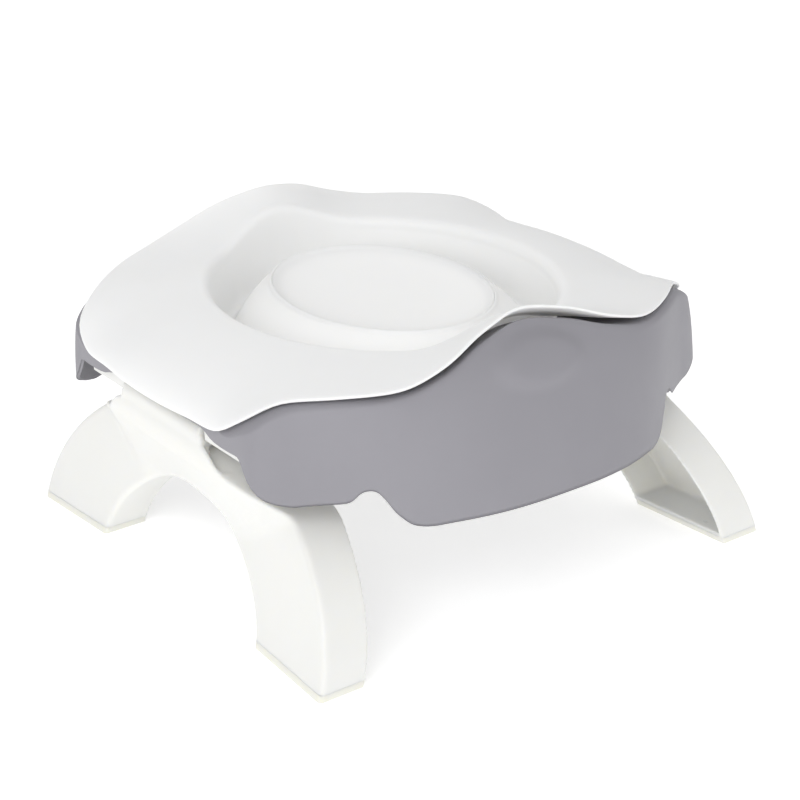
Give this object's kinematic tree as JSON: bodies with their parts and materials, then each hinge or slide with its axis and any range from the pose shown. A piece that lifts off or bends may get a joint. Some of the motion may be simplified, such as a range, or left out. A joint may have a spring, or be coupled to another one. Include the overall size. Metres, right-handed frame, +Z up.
{
  "type": "potty training chair",
  "caption": "Low travel potty: a ring seat with a soft removable liner and push-down bowl, on arched legs that fold in or swing out flat.",
  "frame": {"origin": "on the floor, under the middle of the seat", "axes": "+Z up, +X towards the right-hand leg, -Y towards the front"},
  "size_m": [0.3542, 0.375, 0.191],
  "materials": {
    "body_grey": "fine moulding texture",
    "liner_silicone": "soft satin",
    "leg_white": "satin",
    "rail_white": "satin",
    "pad_soft": "translucent, soft",
    "steel": "plain"
  },
  "bodies": {
    "seat": {"seat_body": "body_grey", "left_hinge_rail": "rail_white", "left_hinge_rod": "steel", "left_rod_plug": "rail_white", "left_front_rail_screw": "steel", "left_back_rail_screw": "steel", "left_detent_spring": "steel", "right_hinge_rail": "rail_white", "right_hinge_rod": "steel", "right_rod_plug": "rail_white", "right_front_rail_screw": "steel", "right_back_rail_screw": "steel", "right_detent_spring": "steel"},
    "left_leg_frame": {"left_leg": "leg_white", "left_front_foot_pad": "pad_soft", "left_back_foot_pad": "pad_soft"},
    "right_leg_frame": {"right_leg": "leg_white", "right_front_foot_pad": "pad_soft", "right_back_foot_pad": "pad_soft"},
    "liner": {"liner_seat": "liner_silicone"},
    "bowl": {"bowl_cup": "liner_silicone", "bowl_wall": "liner_silicone"}
  },
  "joints": [
    {"name": "left_leg_fold", "type": "hinge", "parent": "seat", "child": "left_leg_frame", "pos_m": [-0.157, 0, 0.1195], "axis": [0, 1, 0], "range_deg": [-50, 75]},
    {"name": "right_leg_fold", "type": "hinge", "parent": "seat", "child": "right_leg_frame", "pos_m": [0.157, 0, 0.1195], "axis": [0, -1, 0], "range_deg": [-50, 75]},
    {"name": "liner_lift", "type": "slide", "parent": "seat", "child": "liner", "axis": [0, 0, 1], "range_m": [0, 0.12]},
    {"name": "bowl_push", "type": "slide", "parent": "liner", "child": "bowl", "axis": [0, 0, -1], "range_m": [0, 0.063], "deforming": ["bowl_wall"]}
  ]
}
